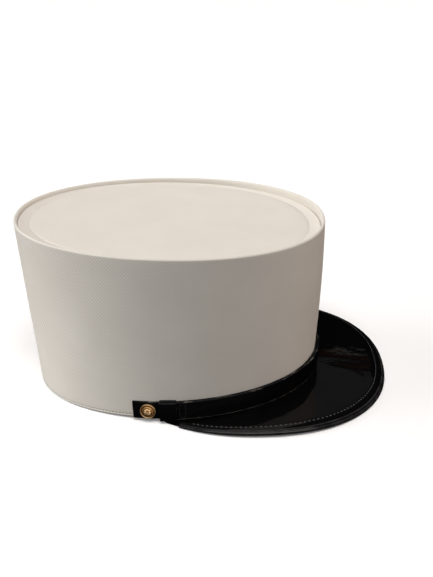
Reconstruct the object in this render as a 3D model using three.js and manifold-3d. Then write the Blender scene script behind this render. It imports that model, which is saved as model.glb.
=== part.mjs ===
// A white dress cap: a stiff oval crown with a sunken top, a black leather peak with a bound edge,
// and a two-part chin strap with its keepers, held by a gilt button on each side.
// Millimetres, +Z up. The front of the cap faces -Y and the wearer's right side is at -X.
// The cap is drawn with its hem level, then tipped until it rests on the rear hem and the peak.
import * as THREE from 'three';
import { mergeVertices } from 'three/addons/utils/BufferGeometryUtils.js';
import Module from 'manifold-3d';

const { clamp, degToRad, lerp, smoothstep } = THREE.MathUtils;
const wasm = await Module();
wasm.setup();

// Crown outline: the hem fits a head of about 57 cm, and the rim is wider
const hemHalfLength = 101;
const hemHalfWidth = 85.3;
const rimHalfLength = 110;
const rimHalfWidth = 92.1;
const rimCentreY = -0.5;
const ovalPower = 2.12;
const rearNarrowing = 0.036;
const frontBulge = 1.3;

// Crown heights over the hem, at the middle of the cap, with their rise per mm towards the rear
const rimHeight = 116.9;
const rimSlope = 0.044;
const panelHeight = 113.05;
const panelLiftAtSides = 0.8;
const panelSlope = 0.059;

// Crown cloth, and the room between two sewn or laid pieces
const wallThickness = 2.4;
const panelThickness = 1.8;
const flangeDepth = 4.5;
const flangeThickness = 1.6;
const seamGap = 0.3;

// Peak: a crescent whose outer edge is a squared oval about a point ahead of the crown's middle
const peakCentreY = -58;
const peakHalfLength = 95.6;
const peakHalfWidth = 109;
const peakPower = 2.25;
const peakSweep = degToRad(128);
const peakRootTurn = degToRad(91);
const rimFall = 3.6;
const rimBendFromEdge = 7.5;
const rimBendReach = 2.5;
const rimBendMostShare = 0.6;
const rimReachMostShare = 0.35;
const peakRimThickness = 0.9;
const peakTailInset = 0.2;

// Binding folded over the peak's edge, with a raised bead along its top
const bindingSweepShare = 0.94;
const slimmingStart = 0.75;
const slimmestShare = 0.72;
const bindingWidth = 7.2;
const bindingLeather = 0.65;
const bindingBevel = 0.5;
const beadFromEdge = 1.7;
const beadWidth = 1.1;
const beadHeight = 0.45;
const bindingHalf = peakRimThickness / 2 + seamGap + bindingLeather;

// Chin strap: two leather layers over the peak's root, from button to button
const strapWidth = 13.3;
const strapLeather = 1.3;
const strapHeightSide = 0.43;
const strapHeightFront = 4.6;
const innerStrapOutset = 1.45;
const outerStrapOutset = 3.05;
const strapPressFront = 1;
const buttonBehindMiddle = 14.5;
const tabPastButton = 10.3;
const lapEnd = 1.5;
const lapEaseEnd = 8;

// Keeper: a leather loop round both layers
const keeperLength = 12.3;
const keeperAheadOfButton = 13.2;
const keeperLeather = 0.75;
const keeperHoleDepth = 3.6;
const keeperHoleHeight = 14.1;
const keeperSeat = 0.3;
const keeperRise = 0.2;

// Button: a shallow dome with a rolled rim, on a shank through the strap and the wall
const buttonRadius = 5.5;
const buttonBackOutset = 3.05;
const buttonEdgeThickness = 1;
const buttonDomeHeight = 1.7;
const buttonRimWidth = 0.8;
const buttonRimRise = 0.15;
const buttonBevel = 0.3;
const domeSink = 0.2;
const shankRadius = 1.1;
const shankPastWall = 1;
const shankHoleRadius = 1.45;

// How finely the curved pieces are faceted
const crownSegments = 64;
const wallRows = 5;
const lipSteps = 4;
const bindingSteps = 56;
const peakTailSteps = 2;
const strapStations = 50;
const tabSteps = 6;
const buttonSegments = 24;
const domeSteps = 4;
const holeSegments = 16;

// The panel's top from the crease at the wall inwards: a ledge, a shallow moat and a soft plateau
const panelProfile = [
  { inset: 9.2, height: -0.9 },
  { inset: 11, height: -1.3 },
  { inset: 14, height: -0.6 },
  { inset: 20, height: -0.15 },
  { inset: 60, height: 0 },
  { inset: 100, height: 0.1 },
];
const blankRadius = 100;
const straightInset = 24;

// The peak's mid-height at its root and its edge, from straight ahead to one end, in equal steps
const peakProfile = [
  { root: 3.2, edge: -4.7, thickness: 2 },
  { root: 2.95, edge: -4.6, thickness: 2 },
  { root: 2.35, edge: -3.4, thickness: 2 },
  { root: 1.35, edge: -1.5, thickness: 2 },
  { root: -0.75, edge: -0.8, thickness: 1.5 },
  { root: -1.65, edge: -1.65, thickness: 0.9 },
];

const materials = {
  twill: new THREE.MeshStandardMaterial({ color: 0xdcd7cf, roughness: 0.85, metalness: 0 }),
  topCloth: new THREE.MeshStandardMaterial({ color: 0xe4dfd6, roughness: 0.85, metalness: 0 }),
  patent: new THREE.MeshStandardMaterial({ color: 0x131315, roughness: 0.2, metalness: 0 }),
  binding: new THREE.MeshStandardMaterial({ color: 0x18181a, roughness: 0.35, metalness: 0 }),
  strap: new THREE.MeshStandardMaterial({ color: 0x101116, roughness: 0.25, metalness: 0 }),
  gilt: new THREE.MeshStandardMaterial({ color: 0xb8924c, roughness: 0.3, metalness: 1 }),
};

// Surfaces of the crown

// The sine or cosine of a true ellipse, spread towards a squared one
function spread(value, power) {
  return Math.sign(value) * Math.abs(value) ** (2 / power);
}

function rimY(turn) {
  return rimCentreY - rimHalfLength * spread(Math.cos(turn), ovalPower);
}

// A point of the wall's outer face, or outset from it. A turn of 0 is straight ahead.
function wallPoint(turn, height, outset) {
  const level = height / (rimHeight + rimSlope * rimY(turn));
  const halfLength = lerp(hemHalfLength, rimHalfLength, level);
  const halfWidth = lerp(hemHalfWidth, rimHalfWidth, level);
  const across = spread(Math.sin(turn), ovalPower);
  const ahead = spread(Math.cos(turn), ovalPower);
  const outward = new THREE.Vector3(
    (Math.sign(across) * Math.abs(across) ** (ovalPower - 1)) / halfWidth,
    (-Math.sign(ahead) * Math.abs(ahead) ** (ovalPower - 1)) / halfLength,
    0,
  ).normalize();
  const bulge = frontBulge * Math.max(0, Math.cos(turn)) ** 2 * Math.sin(Math.PI * clamp(level, 0, 1));
  return new THREE.Vector3(
    halfWidth * across * (1 + rearNarrowing * Math.cos(turn)),
    rimCentreY * level - halfLength * ahead,
    height,
  ).addScaledVector(outward, outset + bulge);
}

// The turn at which the hem passes a place that far behind the middle, on the +X side
function turnBehindMiddle(distance) {
  const share = distance / hemHalfLength;
  return Math.acos(-Math.sign(share) * Math.abs(share) ** (ovalPower / 2));
}

// Lathes a closed profile as a round blank, then moves each vertex onto the oval crown
function blocked(profile, place) {
  const points = profile.map(({ inset, height }) => new THREE.Vector2(blankRadius - inset, height));
  const geometry = new THREE.LatheGeometry(points, crownSegments);
  const position = geometry.getAttribute('position');
  const vertex = new THREE.Vector3();
  for (let i = 0; i < position.count; i += 1) {
    vertex.fromBufferAttribute(position, i);
    const turn = Math.atan2(vertex.x, vertex.z);
    const inset = blankRadius - Math.hypot(vertex.x, vertex.z);
    const moved = place(turn, inset, vertex.y);
    position.setXYZ(i, moved.x, moved.y, moved.z);
  }
  return geometry;
}

// Skins a solid over stations that each have a profile, and closes its two ends. The profile is
// drawn anticlockwise for an eye that looks back along the stations, from the last to the first.
function loft(stations, profileAt, place) {
  const profiles = stations.map(profileAt);
  const count = profiles[0].length;
  const points = stations.flatMap((station, s) => profiles[s].map((point) => place(station, point)));
  const index = [];
  for (let s = 0; s < stations.length - 1; s += 1) {
    for (let p = 0; p < count; p += 1) {
      const here = s * count + p;
      const beside = s * count + ((p + 1) % count);
      index.push(here, beside, here + count);
      index.push(beside, beside + count, here + count);
    }
  }
  const last = (stations.length - 1) * count;
  for (const [a, b, c] of THREE.ShapeUtils.triangulateShape(profiles[0], [])) {
    index.push(c, b, a);
  }
  for (const [a, b, c] of THREE.ShapeUtils.triangulateShape(profiles.at(-1), [])) {
    index.push(last + a, last + b, last + c);
  }
  const geometry = new THREE.BufferGeometry().setFromPoints(points);
  geometry.setIndex(index);
  return geometry;
}

function evenStations(from, to, steps) {
  return Array.from({ length: steps + 1 }, (_, i) => lerp(from, to, i / steps));
}

// Cutting with manifold-3d

function toManifold(geometry) {
  const bare = geometry.clone();
  bare.deleteAttribute('normal');
  bare.deleteAttribute('uv');
  const merged = mergeVertices(bare, 1e-4);
  const vertProperties = new Float32Array(merged.getAttribute('position').array);
  const triVerts = new Uint32Array(merged.getIndex().array);
  return new wasm.Manifold(new wasm.Mesh({ numProp: 3, vertProperties, triVerts }));
}

function fromManifold(solid) {
  const { vertProperties, triVerts } = solid.getMesh();
  const geometry = new THREE.BufferGeometry();
  geometry.setAttribute('position', new THREE.BufferAttribute(vertProperties, 3));
  geometry.setIndex(new THREE.BufferAttribute(triVerts, 1));
  return geometry;
}

// Where the buttons and keepers sit: the local +Z points out of the wall, +Y up and X along it

function strapLow(turn) {
  return lerp(strapHeightSide, strapHeightFront, Math.max(0, Math.cos(turn)));
}

function wallMount(turn) {
  const step = 0.01;
  const height = strapLow(turn) + strapWidth / 2;
  const here = wallPoint(turn, height, 0);
  const ahead = wallPoint(turn + step, height, 0).sub(here).normalize();
  const up = wallPoint(turn, height + 1, 0).sub(here).normalize();
  const out = new THREE.Vector3().crossVectors(ahead, up).normalize();
  const level = new THREE.Vector3().crossVectors(up, out);
  return new THREE.Matrix4().makeBasis(level, up, out).setPosition(here);
}

const buttonTurn = turnBehindMiddle(buttonBehindMiddle);
const keeperTurn = turnBehindMiddle(buttonBehindMiddle - keeperAheadOfButton);
const tabTurn = turnBehindMiddle(buttonBehindMiddle + tabPastButton);
const lapTurn = turnBehindMiddle(lapEnd);

function withShankHole(geometry, turn) {
  const reach = 2 * (wallThickness + outerStrapOutset + strapLeather);
  const drill = new THREE.CylinderGeometry(shankHoleRadius, shankHoleRadius, reach, holeSegments);
  drill.rotateX(Math.PI / 2);
  drill.applyMatrix4(wallMount(turn));
  return fromManifold(toManifold(geometry).subtract(toManifold(drill)));
}

// Crown

function crownSide() {
  const roll = wallThickness / 2;
  const rows = evenStations(0, rimHeight - roll, wallRows);
  const outerFace = rows.slice(0, -1).map((height) => ({ inset: 0, height }));
  const lip = evenStations(0, Math.PI, lipSteps).map((around) => ({
    inset: roll - roll * Math.cos(around),
    height: rimHeight - roll + roll * Math.sin(around),
  }));
  const innerFace = outerFace.map(({ height }) => ({ inset: wallThickness, height })).reverse();
  const profile = [...outerFace, ...lip, ...innerFace, outerFace[0]];
  const wall = blocked(profile, (turn, inset, height) => {
    const taller = (rimHeight + rimSlope * rimY(turn)) / rimHeight;
    return wallPoint(turn, height * taller, -inset);
  });
  return withShankHole(withShankHole(wall, buttonTurn), -buttonTurn);
}

function crownTop() {
  const edgeInset = wallThickness + seamGap;
  const flangeInner = edgeInset + flangeThickness;
  const underside = panelProfile.map(({ inset, height }) => ({ inset, height: height - panelThickness }));
  const profile = [
    ...underside.reverse(),
    { inset: flangeInner, height: -panelThickness },
    { inset: flangeInner, height: -flangeDepth },
    { inset: edgeInset, height: -flangeDepth },
    { inset: edgeInset, height: 0 },
    ...panelProfile,
  ];
  return blocked(profile, (turn, inset, height) => {
    const lift = panelLiftAtSides * Math.sin(turn) ** 2;
    const creaseHeight = panelHeight + lift + panelSlope * rimY(turn);
    const spot = wallPoint(turn, creaseHeight + height, -Math.min(inset, straightInset));
    const share = clamp((blankRadius - inset) / (blankRadius - straightInset), 0, 1);
    spot.x *= share;
    spot.y = lerp(rimCentreY, spot.y, share);
    spot.z = panelHeight + lift * share + panelSlope * spot.y + height;
    return spot;
  });
}

// Peak

// One value of the peak's table, a share of the way from straight ahead to an end
function peakValue(column, share) {
  const points = peakProfile.map((row, i) => new THREE.Vector2(i / (peakProfile.length - 1), row[column]));
  return new THREE.SplineCurve(points).getPoint(Math.min(Math.abs(share), 1)).y;
}

// The line across the peak at one share of its sweep, and how far apart its two ends are
function peakLine(share) {
  const sweep = share * peakSweep;
  const rootTop = peakValue('root', share) + peakValue('thickness', share) / 2;
  const root = wallPoint(share * peakRootTurn, rootTop, seamGap).setZ(0);
  const edge = new THREE.Vector3(
    peakHalfWidth * spread(Math.sin(sweep), peakPower),
    peakCentreY - peakHalfLength * spread(Math.cos(sweep), peakPower),
    0,
  );
  return { root, edge, width: root.distanceTo(edge) };
}

// The middle of the bend that turns the peak's rim down, and how far it reaches to both sides
function rimBend(width) {
  return {
    bend: Math.min(rimBendFromEdge, rimBendMostShare * width),
    reach: Math.min(rimBendReach, rimReachMostShare * width),
  };
}

// How far the whole rim falls, and how much of that has happened at x from the edge
function rimFallen(share, width, x) {
  const { bend, reach } = rimBend(width);
  const drop = peakValue('root', share) - peakValue('edge', share);
  const fall = rimFall * Math.tanh(drop / rimFall);
  const into = clamp(bend + reach - x, 0, 2 * reach);
  const beyond = Math.max(0, bend - reach - x);
  return { fall, here: fall * ((into * into) / (4 * reach) + beyond) / bend };
}

// A point of the peak: x is how far in from the outer edge, y how far over the mid-height
function peakPoint(share, { x, y }) {
  const { root, edge, width } = peakLine(share);
  const { fall, here } = rimFallen(share, width, x);
  const out = 1 - x / width;
  const middle = lerp(peakValue('root', share), peakValue('edge', share) + fall, out);
  const point = new THREE.Vector3().lerpVectors(root, edge, out);
  point.z = middle - here + y;
  return point;
}

// The bound edge is slimmer towards the ends, where it runs in under the keepers
function slimming(share) {
  return lerp(1, slimmestShare, smoothstep(Math.abs(share), slimmingStart, bindingSweepShare));
}

// The peak and its binding share their stations, so that their faces run side by side
const bindingStations = evenStations(-bindingSweepShare, bindingSweepShare, bindingSteps);
const peakTail = evenStations(bindingSweepShare, 1, peakTailSteps).slice(1);
const peakStations = [
  ...peakTail.map((share) => -share).reverse(),
  ...bindingStations,
  ...peakTail,
];

function peak() {
  const profileAt = (share) => {
    const { width } = peakLine(share);
    const ending = smoothstep(Math.abs(share), bindingSweepShare, 1);
    const half = peakValue('thickness', share) / 2;
    const rimHalf = (slimming(share) * peakRimThickness) / 2;
    const rimWidth = Math.min(bindingWidth + seamGap, width / 2);
    const edge = lerp(bindingLeather + seamGap, peakTailInset, ending);
    const { bend, reach } = rimBend(width);
    const flatEnd = bend + reach;
    const across = [width, (width + flatEnd) / 2, flatEnd, (flatEnd + rimWidth) / 2, rimWidth];
    const upper = across.map((x) => new THREE.Vector2(x, half));
    const lower = across.map((x) => new THREE.Vector2(x, -half)).reverse();
    return [
      ...upper,
      new THREE.Vector2(rimWidth, rimHalf),
      new THREE.Vector2(edge, rimHalf),
      new THREE.Vector2(edge, -rimHalf),
      new THREE.Vector2(rimWidth, -rimHalf),
      ...lower,
    ];
  };
  return loft(peakStations, profileAt, peakPoint);
}

function peakBinding() {
  const profileAt = (share) => {
    const half = slimming(share) * bindingHalf;
    const leather = slimming(share) * bindingLeather;
    const inside = half - leather;
    const leg = Math.min(bindingWidth, peakLine(share).width / 2 - seamGap);
    const beadInner = beadFromEdge + beadWidth / 2;
    const beadOuter = beadFromEdge - beadWidth / 2;
    return [
      [leg, half],
      [beadInner + beadHeight, half],
      [beadInner, half + beadHeight],
      [beadOuter, half + beadHeight],
      [beadOuter - beadHeight, half],
      [bindingBevel, half],
      [0, half - bindingBevel],
      [0, bindingBevel - half],
      [bindingBevel, -half],
      [leg, -half],
      [leg, -inside],
      [leather, -inside],
      [leather, inside],
      [leg, inside],
    ].map(([x, y]) => new THREE.Vector2(x, y));
  };
  return loft(bindingStations, profileAt, peakPoint);
}

// Chin strap

// Both layers share the stations of the lap, so that their faces run side by side
const lapStations = evenStations(lapTurn, -lapTurn, strapStations);
const tabStations = evenStations(tabTurn, lapTurn, tabSteps).slice(0, -1);

// Over the root of the peak the strap is pressed closer to the wall
function strapLayer(stations, outsetAt) {
  const profileAt = (turn) => {
    const inner = outsetAt(turn) - strapPressFront * Math.max(0, Math.cos(turn));
    const low = strapLow(turn);
    return [
      new THREE.Vector2(inner, low),
      new THREE.Vector2(inner + strapLeather, low),
      new THREE.Vector2(inner + strapLeather, low + strapWidth),
      new THREE.Vector2(inner, low + strapWidth),
    ];
  };
  const place = (turn, { x, y }) => wallPoint(turn, y, x);
  return loft(stations, profileAt, place);
}

function innerStrap() {
  const rightTab = tabStations.map((turn) => -turn).reverse();
  const layer = strapLayer([...lapStations, ...rightTab], () => innerStrapOutset);
  return withShankHole(layer, -buttonTurn);
}

// The outer layer steps in to the wall where the inner one ends, so that its tab lies flat
function outerStrap() {
  const easeTo = turnBehindMiddle(lapEaseEnd);
  const outsetAt = (turn) => {
    return lerp(outerStrapOutset, innerStrapOutset, smoothstep(turn, lapTurn, easeTo));
  };
  return withShankHole(strapLayer([...tabStations, ...lapStations], outsetAt), buttonTurn);
}

function keeper(turn) {
  const outerDepth = keeperHoleDepth + 2 * keeperLeather;
  const outerHeight = keeperHoleHeight + 2 * keeperLeather;
  const loop = new THREE.Shape([
    new THREE.Vector2(0, -outerHeight / 2),
    new THREE.Vector2(outerDepth, -outerHeight / 2),
    new THREE.Vector2(outerDepth, outerHeight / 2),
    new THREE.Vector2(0, outerHeight / 2),
  ]);
  loop.holes.push(new THREE.Path([
    new THREE.Vector2(keeperLeather, -keeperHoleHeight / 2),
    new THREE.Vector2(keeperLeather, keeperHoleHeight / 2),
    new THREE.Vector2(keeperLeather + keeperHoleDepth, keeperHoleHeight / 2),
    new THREE.Vector2(keeperLeather + keeperHoleDepth, -keeperHoleHeight / 2),
  ]));
  const geometry = new THREE.ExtrudeGeometry(loop, { depth: keeperLength, bevelEnabled: false });
  geometry.translate(keeperSeat, keeperRise, -keeperLength / 2);
  geometry.rotateY(-Math.PI / 2);
  return geometry.applyMatrix4(wallMount(turn));
}

// Button

function button(turn) {
  const edgeTop = buttonBackOutset + buttonEdgeThickness;
  const domeRadius = buttonRadius - buttonRimWidth;
  const dome = evenStations(0, Math.PI / 2, domeSteps).map((around) => [
    domeRadius * Math.cos(around),
    edgeTop - domeSink + buttonDomeHeight * Math.sin(around),
  ]);
  const profile = [
    [0, -wallThickness - shankPastWall],
    [shankRadius, -wallThickness - shankPastWall],
    [shankRadius, buttonBackOutset],
    [buttonRadius - buttonBevel, buttonBackOutset],
    [buttonRadius, buttonBackOutset + buttonBevel],
    [buttonRadius, edgeTop - buttonRimRise],
    [buttonRadius - buttonRimWidth / 2, edgeTop + buttonRimRise],
    ...dome.slice(0, -1),
    [0, edgeTop - domeSink + buttonDomeHeight],
  ].map(([radius, outset]) => new THREE.Vector2(radius, outset));
  const geometry = new THREE.LatheGeometry(profile, buttonSegments);
  geometry.rotateX(Math.PI / 2);
  return geometry.applyMatrix4(wallMount(turn));
}

// Assembly

const cap = new THREE.Group();

function add(name, geometry, material) {
  const mesh = new THREE.Mesh(geometry, material.clone());
  mesh.name = name;
  cap.add(mesh);
}

add('crown_side', crownSide(), materials.twill);
add('crown_top', crownTop(), materials.topCloth);
add('peak', peak(), materials.patent);
add('peak_binding', peakBinding(), materials.binding);
add('chin_strap_inner', innerStrap(), materials.strap);
add('chin_strap_outer', outerStrap(), materials.strap);
for (const [side, sign] of [['right', -1], ['left', 1]]) {
  add(`keeper_${side}`, keeper(sign * keeperTurn), materials.strap);
  add(`button_${side}`, button(sign * buttonTurn), materials.gilt);
}

// Tip the cap onto the rear hem and the underside of the peak's bound edge
const tipDrop = bindingHalf - peakProfile[0].edge;
const tipReach = hemHalfLength + peakHalfLength - peakCentreY;
cap.rotation.x = -Math.atan2(tipDrop, tipReach);

// The origin is under the middle of the whole cap, on the surface that it rests on
const outline = new THREE.Box3().setFromObject(cap, true);
const middle = outline.getCenter(new THREE.Vector3());
cap.position.set(-middle.x, -middle.y, -outline.min.z);

const part = new THREE.Group();
part.add(cap);

export default part;
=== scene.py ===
# %% [markdown]
# # A white dress cap with a black leather peak
# The real cap is a stiff band of white cotton twill, shaped round an oval head and a little wider at
# its rim than at its hem. A second oval of twill is sewn in under the rim, so the top is sunken.
# A crescent of patent leather is the peak, with a narrower strip of leather bound over its edge.
# A chin strap in two layers runs over the root of the peak, and a gilt button holds each end.
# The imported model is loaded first. It fixes where every piece sits and how large it is, so the
# pieces below only have to be finer copies of the same shapes, in the same place.

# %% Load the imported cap
import math

import bmesh
import bpy
import numpy as np
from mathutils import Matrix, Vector


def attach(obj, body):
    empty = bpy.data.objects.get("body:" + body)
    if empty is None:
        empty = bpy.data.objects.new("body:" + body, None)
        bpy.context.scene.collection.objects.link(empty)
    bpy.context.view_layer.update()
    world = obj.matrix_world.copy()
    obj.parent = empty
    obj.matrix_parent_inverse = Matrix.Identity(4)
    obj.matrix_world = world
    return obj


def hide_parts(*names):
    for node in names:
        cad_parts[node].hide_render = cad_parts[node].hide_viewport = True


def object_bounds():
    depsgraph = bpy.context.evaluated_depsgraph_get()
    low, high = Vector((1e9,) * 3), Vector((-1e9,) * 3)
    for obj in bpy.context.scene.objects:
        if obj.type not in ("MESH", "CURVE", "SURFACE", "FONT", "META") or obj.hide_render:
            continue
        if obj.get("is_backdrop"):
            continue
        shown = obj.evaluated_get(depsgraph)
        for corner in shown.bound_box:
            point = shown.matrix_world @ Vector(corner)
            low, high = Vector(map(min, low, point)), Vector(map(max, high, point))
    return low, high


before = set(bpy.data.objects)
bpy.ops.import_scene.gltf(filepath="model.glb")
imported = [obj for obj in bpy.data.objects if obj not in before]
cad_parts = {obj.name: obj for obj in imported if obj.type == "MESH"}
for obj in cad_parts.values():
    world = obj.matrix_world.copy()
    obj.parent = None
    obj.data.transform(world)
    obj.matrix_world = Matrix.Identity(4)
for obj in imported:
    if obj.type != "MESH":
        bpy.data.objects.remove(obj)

cad_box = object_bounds()
cad_size = " x ".join(f"{(high - low) * 1000:.0f}" for low, high in zip(*cad_box))
print(f"{len(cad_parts)} packed pieces, {cad_size} mm")

# %% [markdown]
# ## The camera
# The camera looks at the wearer's right side from a little above, as the photograph does. Its place
# and turn come from fitting the ovals of the rim and the hem to their outlines in the picture.
# A focal length counted in pixels becomes a lens in millimetres through the picture's long side.

# %% Camera
picture_width = 433
picture_height = 577
focal_pixels = 1050
film_mm = 36
camera_place = (-0.7098, -0.0270, 0.3525)
camera_turn = (67.736, 0.753, -88.891)

camera_data = bpy.data.cameras.new("photo_camera")
camera_data.sensor_width = film_mm
camera_data.lens = film_mm * focal_pixels / max(picture_width, picture_height)
camera = bpy.data.objects.new("photo_camera", camera_data)
camera.location = camera_place
camera.rotation_euler = [math.radians(degrees) for degrees in camera_turn]
bpy.context.scene.collection.objects.link(camera)
bpy.context.scene.camera = camera
print(f"the lens is {camera_data.lens:.1f} mm")

# %% [markdown]
# ## The crown's shape
# A cap maker stretches the band over a wooden block. Here the block is a formula: a slightly squared
# oval at the hem, a larger one at the rim, and straight lines between them. One function gives any
# point of the wall from its turn round the head, its height and its distance out from the cloth.
# Everything that lies on the wall, such as the strap, the keepers and the stitches, uses it too, and
# so it all stays parallel to the cloth. All these sizes are in millimetres with the hem level.

# %% Sizes of the crown
hem_half_length = 101
hem_half_width = 85.3
rim_half_length = 110
rim_half_width = 92.1
rim_centre_y = -0.5
oval_power = 2.12
rear_narrowing = 0.036
front_bulge = 1.3
rim_height = 116.9
rim_slope = 0.044
panel_height = 113.05
panel_slope = 0.059
wall_thickness = 2.4
panel_thickness = 1.8
print(f"the rim is an oval of {2 * rim_half_length} x {2 * rim_half_width} mm")


# %% A point of the wall
def blend_between(low, high, share):
    return low + (high - low) * share


def smooth_step(value, low, high):
    """0 below low, 1 above high, and an S-shaped rise between them."""
    share = np.clip((value - low) / (high - low), 0, 1)
    return share * share * (3 - 2 * share)


def spread(value, power):
    """The sine or cosine of a true oval, spread towards a squared one."""
    return np.sign(value) * np.abs(value) ** (2 / power)


def rim_y(turn):
    return rim_centre_y - rim_half_length * spread(np.cos(turn), oval_power)


def wall_point(turn, height, outset):
    """A point over the wall's outer face. A turn of 0 is the front, and it grows to the wearer's left."""
    turn, height, outset = np.broadcast_arrays(turn, height, outset)
    level = height / (rim_height + rim_slope * rim_y(turn))
    half_length = blend_between(hem_half_length, rim_half_length, level)
    half_width = blend_between(hem_half_width, rim_half_width, level)
    across = spread(np.sin(turn), oval_power)
    ahead = spread(np.cos(turn), oval_power)
    out_x = spread(across, 2 / (oval_power - 1)) / half_width
    out_y = -spread(ahead, 2 / (oval_power - 1)) / half_length
    out_length = np.hypot(out_x, out_y)
    bulge = front_bulge * np.maximum(0, np.cos(turn)) ** 2 * np.sin(np.pi * np.clip(level, 0, 1))
    distance = (outset + bulge) / out_length
    x = half_width * across * (1 + rear_narrowing * np.cos(turn)) + out_x * distance
    y = rim_centre_y * level - half_length * ahead + out_y * distance
    return np.stack([x, y, height], axis=-1)


def turn_behind_middle(distance):
    """The turn at which the hem passes a place that far behind the middle, on the wearer's left."""
    share = distance / hem_half_length
    return math.acos(-math.copysign(abs(share) ** (oval_power / 2), share))


ring_steps = 720
hem_ring = wall_point(np.linspace(-np.pi, np.pi, ring_steps + 1), 0, 0)

# %% [markdown]
# ## From the drawing to the table
# On the table the cap leans back by a little over a degree, because its peak reaches lower than its
# hem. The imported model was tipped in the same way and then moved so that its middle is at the
# origin. This cell does both to any list of points, and turns millimetres into Blender's metres.

# %% Tip the drawing on to the table
peak_drop = 6.1
peak_reach = 254.6
table_shift_y = 20.7116
table_shift_z = 2.4258
tip = math.atan2(peak_drop, peak_reach)


def on_table(points):
    x, y, z = np.moveaxis(np.asarray(points, float), -1, 0)
    tipped_y = y * math.cos(tip) + z * math.sin(tip) + table_shift_y
    tipped_z = z * math.cos(tip) - y * math.sin(tip) + table_shift_z
    return np.stack([x, tipped_y, tipped_z], axis=-1) / 1000


rear_hem = on_table(wall_point(np.pi, 0, 0))
print(f"the cap tips by {math.degrees(tip):.2f} degrees, and its rear hem is {rear_hem[2] * 1000:.2f} mm up")

# %% [markdown]
# ## How a piece is made
# Cloth and leather pieces are skins over rows of points: rows run along the piece and columns run round its
# section. A maker would cut such a piece flat and bend it, so each corner also keeps its place on the flat
# material, in millimetres, in a UV map. Weave and grain are drawn in that map, and they then keep their real
# size and follow the piece. A second value says how worn a point is, or on a button how much brown film lies
# in a hollow; on the strap's lower edge it also paints a highlight.

# %% Skin a grid of points
def join_skin(name, points, faces, flat_places, material, wear_film_and_highlight=None, sharp_over=50):
    """Makes the mesh, points its faces outwards and gives it smooth shading and a material."""
    mesh = bpy.data.meshes.new(name)
    mesh.from_pydata(on_table(points.reshape(-1, 3)).tolist(), [], faces)
    flat_map = mesh.uv_layers.new(name="flat_mm")
    flat_map.data.foreach_set("uv", np.asarray(flat_places, np.float32).ravel())
    if wear_film_and_highlight is not None:
        wear_and_highlight = mesh.attributes.new("wear_film_and_highlight", "FLOAT", "POINT")
        wear_and_highlight.data.foreach_set("value", np.asarray(wear_film_and_highlight, np.float32).ravel())
    shell = bmesh.new()
    shell.from_mesh(mesh)
    bmesh.ops.recalc_face_normals(shell, faces=shell.faces)
    shell.to_mesh(mesh)
    shell.free()
    mesh.shade_smooth()
    mesh.set_sharp_from_angle(angle=math.radians(sharp_over))
    mesh.materials.append(material)
    piece = bpy.data.objects.new(name, mesh)
    bpy.context.scene.collection.objects.link(piece)
    print(f"{name}: {len(mesh.vertices)} points, {len(mesh.polygons)} faces")
    return piece


def skin(name, points, flat, material, ring=False, loop=True, wear_film_and_highlight=None, sharp_over=50):
    """Skins rows of points. A ring joins its last row to its first, and a loop its last column.

    What stays open is closed with one flat face at each end. The flat places have one more row for
    a ring, and one more column for a loop, so that the map doesn't fold back on itself.
    """
    rows, columns = points.shape[:2]
    row, column = np.indices((rows - (not ring), columns - (not loop))).reshape(2, -1)
    corners = [(row, column), (row, column + 1), (row + 1, column + 1), (row + 1, column)]
    faces = np.stack([(r % rows) * columns + c % columns for r, c in corners], axis=1).tolist()
    flat_places = [np.stack([flat[r, c] for r, c in corners], axis=1).reshape(-1, 2)]
    ends = []
    if not ring:
        ends = [[(r, c) for c in range(columns)] for r in (0, rows - 1)]
    if not loop:
        ends = [[(r, c) for r in range(rows)] for c in (0, columns - 1)]
    for end in ends:
        faces.append([r * columns + c for r, c in end])
        flat_places.append(np.array([flat[r, c] for r, c in end]))
    return join_skin(name, points, faces, np.concatenate(flat_places), material, wear_film_and_highlight, sharp_over)


# %% Helpers for round corners
def arc(centre_x, centre_y, radius, start, end, steps):
    """Points of a round corner, from one angle to another in degrees."""
    angles = np.radians(np.linspace(start, end, steps + 1))
    return [(centre_x + radius * math.cos(a), centre_y + radius * math.sin(a)) for a in angles]


def rounded_box(half_width, half_height, corner, steps):
    """Rows of x, y and the way out there, round the four rounded corners of a box."""
    rows = []
    for quarter, (side_x, side_y) in enumerate([(1, 1), (-1, 1), (-1, -1), (1, -1)]):
        centre = (side_x * (half_width - corner), side_y * (half_height - corner))
        outs = arc(0, 0, 1, 90 * quarter, 90 * quarter + 90, steps)
        rows += [(centre[0] + corner * x, centre[1] + corner * y, x, y) for x, y in outs]
    return np.array(rows)


print(f"a box whose corners take 5 steps each has {len(rounded_box(2, 1, 0.5, 5))} points")


# %% Helpers for lengths and flat maps
def travelled(line):
    """The distance along a line of points, at each point."""
    steps = np.linalg.norm(np.diff(line, axis=0), axis=1)
    return np.concatenate([[0], np.cumsum(steps)])


def round_section(section):
    """The distance round a closed section, at each of its points and back at the first."""
    return travelled(np.vstack([section, section[:1]]))


def flat_strip(along_mm, across_mm):
    """The flat map of a strip, from the distances along it and across it."""
    return np.stack(np.meshgrid(along_mm, across_mm, indexing="ij"), axis=-1)


def unit(vectors):
    return vectors / np.linalg.norm(vectors, axis=-1, keepdims=True)


fine_steps = 2000


def evenly_spaced(place, start, end, spacing):
    """The values between start and end at which place(value) moves on by equal distances."""
    fine = np.linspace(start, end, fine_steps + 1)
    distance = travelled(place(fine))
    count = max(1, round(distance[-1] / spacing))
    return np.interp(np.linspace(0, distance[-1], count + 1), distance, fine)


print(f"a line from 0 to 10 in steps of 3 or so: {evenly_spaced(lambda x: x[:, None], 0, 10, 3)}")


# %% A helper that names what each piece stands for
def dress(piece, slot, *nodes):
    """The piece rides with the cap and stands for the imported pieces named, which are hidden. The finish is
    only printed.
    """
    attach(piece, "root")
    if nodes:
        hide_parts(*nodes)
    print(f"{piece.name} takes the {slot} finish and stands for {', '.join(nodes) or 'nothing packed'}")


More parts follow.
